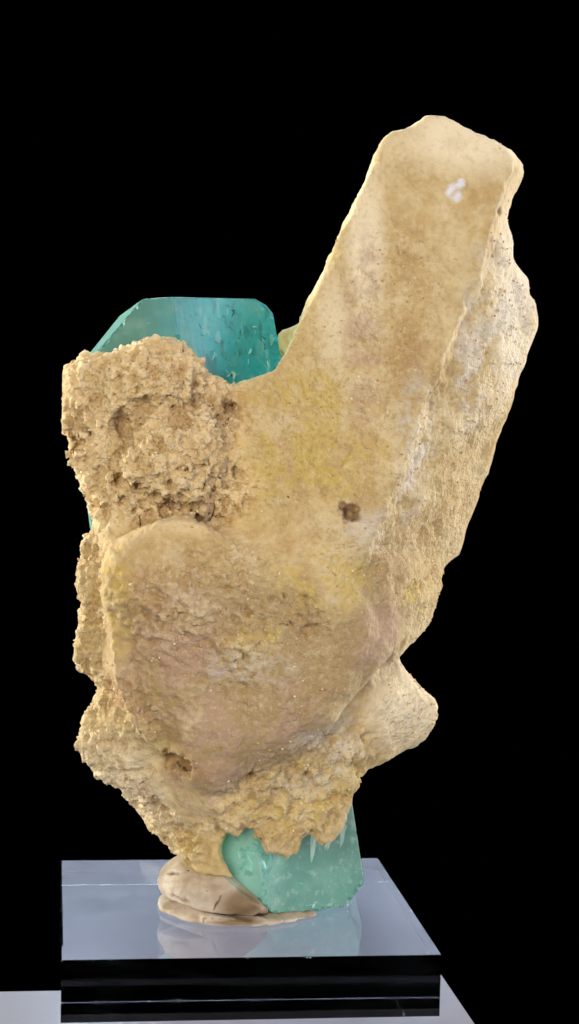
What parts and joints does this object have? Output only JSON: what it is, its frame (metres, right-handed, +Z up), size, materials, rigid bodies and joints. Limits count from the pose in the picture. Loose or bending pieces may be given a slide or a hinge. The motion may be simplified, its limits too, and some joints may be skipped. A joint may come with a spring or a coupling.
{
  "type": "rough aquamarine specimen",
  "caption": "Rough six-sided aquamarine crystal in cream feldspar matrix, set in putty on a clear square block.",
  "frame": {"origin": "centre of the block's underside", "axes": "+Z up, +X to the right and +Y away as the block's front edge is seen"},
  "size_m": [0.081, 0.0615, 0.1446],
  "materials": {
    "clear_acrylic": "clear cast acrylic with polished faces",
    "aquamarine": "see-through blue-green beryl, frosted and cracked in places",
    "feldspar": "rough cream feldspar with a sugary clay skin",
    "mounting_putty": "matt off-white putty"
  },
  "bodies": {
    "root": {"acrylic_block": "clear_acrylic", "aquamarine_crystal": "aquamarine", "feldspar_matrix": "feldspar", "putty_lump": "mounting_putty", "putty_pad": "mounting_putty"}
  },
  "joints": []
}
